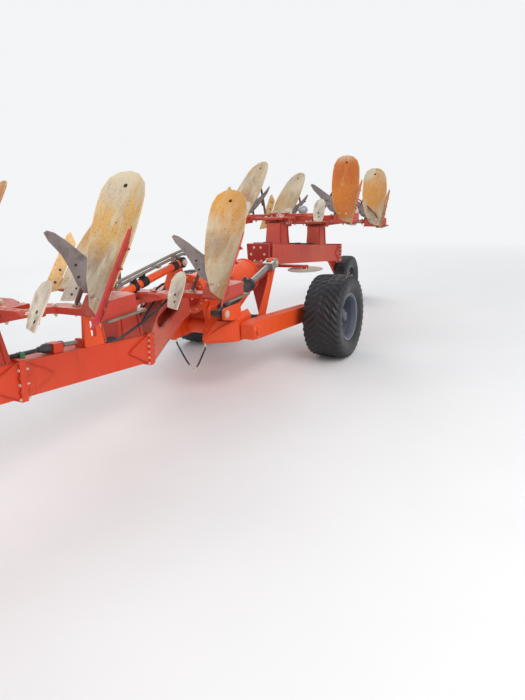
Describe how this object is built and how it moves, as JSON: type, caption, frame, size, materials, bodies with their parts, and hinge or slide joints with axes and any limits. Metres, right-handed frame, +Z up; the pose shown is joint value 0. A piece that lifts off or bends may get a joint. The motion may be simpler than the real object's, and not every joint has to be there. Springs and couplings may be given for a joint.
{
  "type": "moldboard plough",
  "caption": "Semi-mounted reversible moldboard plough on a central wheeled carriage, parked half-turned with both rows of bodies standing tails up.",
  "frame": {"origin": "on the floor, under the middle of the length, in the plane of symmetry of the two rows", "axes": "+X forward along the line of travel, +Y to the left, +Z up"},
  "size_m": [8.6199, 1.88, 1.8559],
  "materials": {
    "frame_paint": "worn",
    "carriage_paint": "worn",
    "faded_paint": "worn",
    "worn_steel": "worn",
    "soil_steel": "soiled",
    "dark_steel": "worn",
    "tyre": "matt",
    "rim_dark": "satin",
    "rod_chrome": "polished"
  },
  "bodies": {
    "carriage": {"carriage_housing": "carriage_paint", "pivot_brackets": "carriage_paint"},
    "plough_frame": {"front_beam": "frame_paint", "beam_flanges": "frame_paint", "front_end": "frame_paint", "crank_arm": "faded_paint", "centre_shaft": "frame_paint", "rear_post": "frame_paint", "rear_beam": "frame_paint", "body_brackets": "frame_paint", "legs": "frame_paint", "frogs": "frame_paint", "landsides": "worn_steel", "shares": "worn_steel", "mouldboards": "soil_steel", "trashboards": "dark_steel", "skimmer_boards": "soil_steel", "skimmer_stems": "frame_paint", "link_tube": "carriage_paint", "disc_arms": "frame_paint"},
    "disc_left": {"disc_left": "worn_steel"},
    "disc_right": {"disc_right": "worn_steel"},
    "wheel_arms": {"wheel_arms": "carriage_paint"},
    "wheel_left": {"tyre_left": "tyre", "rim_left": "rim_dark"},
    "wheel_right": {"tyre_right": "tyre", "rim_right": "rim_dark"},
    "barrel_left": {"lift_barrel_left": "dark_steel"},
    "rod_left": {"lift_rod_left": "rod_chrome"},
    "barrel_right": {"lift_barrel_right": "dark_steel"},
    "rod_right": {"lift_rod_right": "rod_chrome"},
    "depth_arm": {"depth_arm": "frame_paint"},
    "depth_wheel": {"depth_tyre": "tyre", "depth_rim": "frame_paint"},
    "turn_housing": {"turn_housing": "frame_paint"},
    "headstock": {"headstock_frame": "frame_paint"},
    "cross_shaft": {"cross_shaft": "worn_steel"},
    "stand": {"stand_leg": "dark_steel"}
  },
  "joints": [
    {"name": "turnover", "type": "hinge", "parent": "carriage", "child": "plough_frame", "pos_m": [-0.71, 0, 0.8], "axis": [1, 0, 0], "range_deg": [-90, 90]},
    {"name": "housing_turn", "type": "hinge", "parent": "plough_frame", "child": "turn_housing", "pos_m": [3.69, 0, 0.8], "axis": [1, 0, 0], "range_deg": [-90, 90]},
    {"name": "hitch_yaw", "type": "hinge", "parent": "turn_housing", "child": "headstock", "pos_m": [4.05, 0, 0.8], "axis": [0, 0, 1], "range_deg": [-50, 50]},
    {"name": "cross_shaft_turn", "type": "hinge", "parent": "headstock", "child": "cross_shaft", "pos_m": [4.25, 0, 0.62], "axis": [0, 1, 0], "range_deg": [-30, 30]},
    {"name": "stand_slide", "type": "slide", "parent": "turn_housing", "child": "stand", "axis": [0, 0, 1], "range_m": [0, 0.3]},
    {"name": "wheel_lift", "type": "hinge", "parent": "carriage", "child": "wheel_arms", "pos_m": [-0.46, 0, 0.5], "axis": [0, 1, 0], "range_deg": [-12, 12]},
    {"name": "wheel_spin_left", "type": "hinge", "parent": "wheel_arms", "child": "wheel_left", "pos_m": [-1.52, 0.765, 0.39], "axis": [0, 1, 0], "continuous": true},
    {"name": "barrel_swing_left", "type": "hinge", "parent": "carriage", "child": "barrel_left", "pos_m": [-0.24, 0.31, 0.68], "axis": [0, 1, 0], "range_deg": [-20, 20]},
    {"name": "rod_slide_left", "type": "slide", "parent": "barrel_left", "child": "rod_left", "axis": [-0.965, 0, 0.2622], "range_m": [-0.065, 0.065]},
    {"name": "wheel_spin_right", "type": "hinge", "parent": "wheel_arms", "child": "wheel_right", "pos_m": [-1.52, -0.765, 0.39], "axis": [0, 1, 0], "continuous": true},
    {"name": "barrel_swing_right", "type": "hinge", "parent": "carriage", "child": "barrel_right", "pos_m": [-0.24, -0.31, 0.68], "axis": [0, 1, 0], "range_deg": [-20, 20]},
    {"name": "rod_slide_right", "type": "slide", "parent": "barrel_right", "child": "rod_right", "axis": [-0.965, 0, 0.2622], "range_m": [-0.065, 0.065]},
    {"name": "disc_spin_left", "type": "hinge", "parent": "plough_frame", "child": "disc_left", "pos_m": [-1.76, 0.37, 0.7813], "axis": [0, 0, 1], "continuous": true},
    {"name": "disc_spin_right", "type": "hinge", "parent": "plough_frame", "child": "disc_right", "pos_m": [-1.76, -0.37, 0.7813], "axis": [0, 0, 1], "continuous": true},
    {"name": "depth_arm_swing", "type": "hinge", "parent": "plough_frame", "child": "depth_arm", "pos_m": [-3.61, 0, 0.70854], "axis": [1, 0, 0], "range_deg": [-90, 90]},
    {"name": "depth_wheel_spin", "type": "hinge", "parent": "depth_arm", "child": "depth_wheel", "pos_m": [-4.01, 0, 0.3], "axis": [0, 1, 0], "continuous": true}
  ],
  "couplings": [
    {"joint": "housing_turn", "follows": "turnover", "ratio": -1},
    {"joint": "depth_arm_swing", "follows": "turnover", "ratio": -1},
    {"joint": "barrel_swing_left", "follows": "wheel_lift", "ratio": 0.8278},
    {"joint": "rod_slide_left", "follows": "wheel_lift", "m_per_rad": -0.2308},
    {"joint": "barrel_swing_right", "follows": "wheel_lift", "ratio": 0.8278},
    {"joint": "rod_slide_right", "follows": "wheel_lift", "m_per_rad": -0.2308}
  ]
}
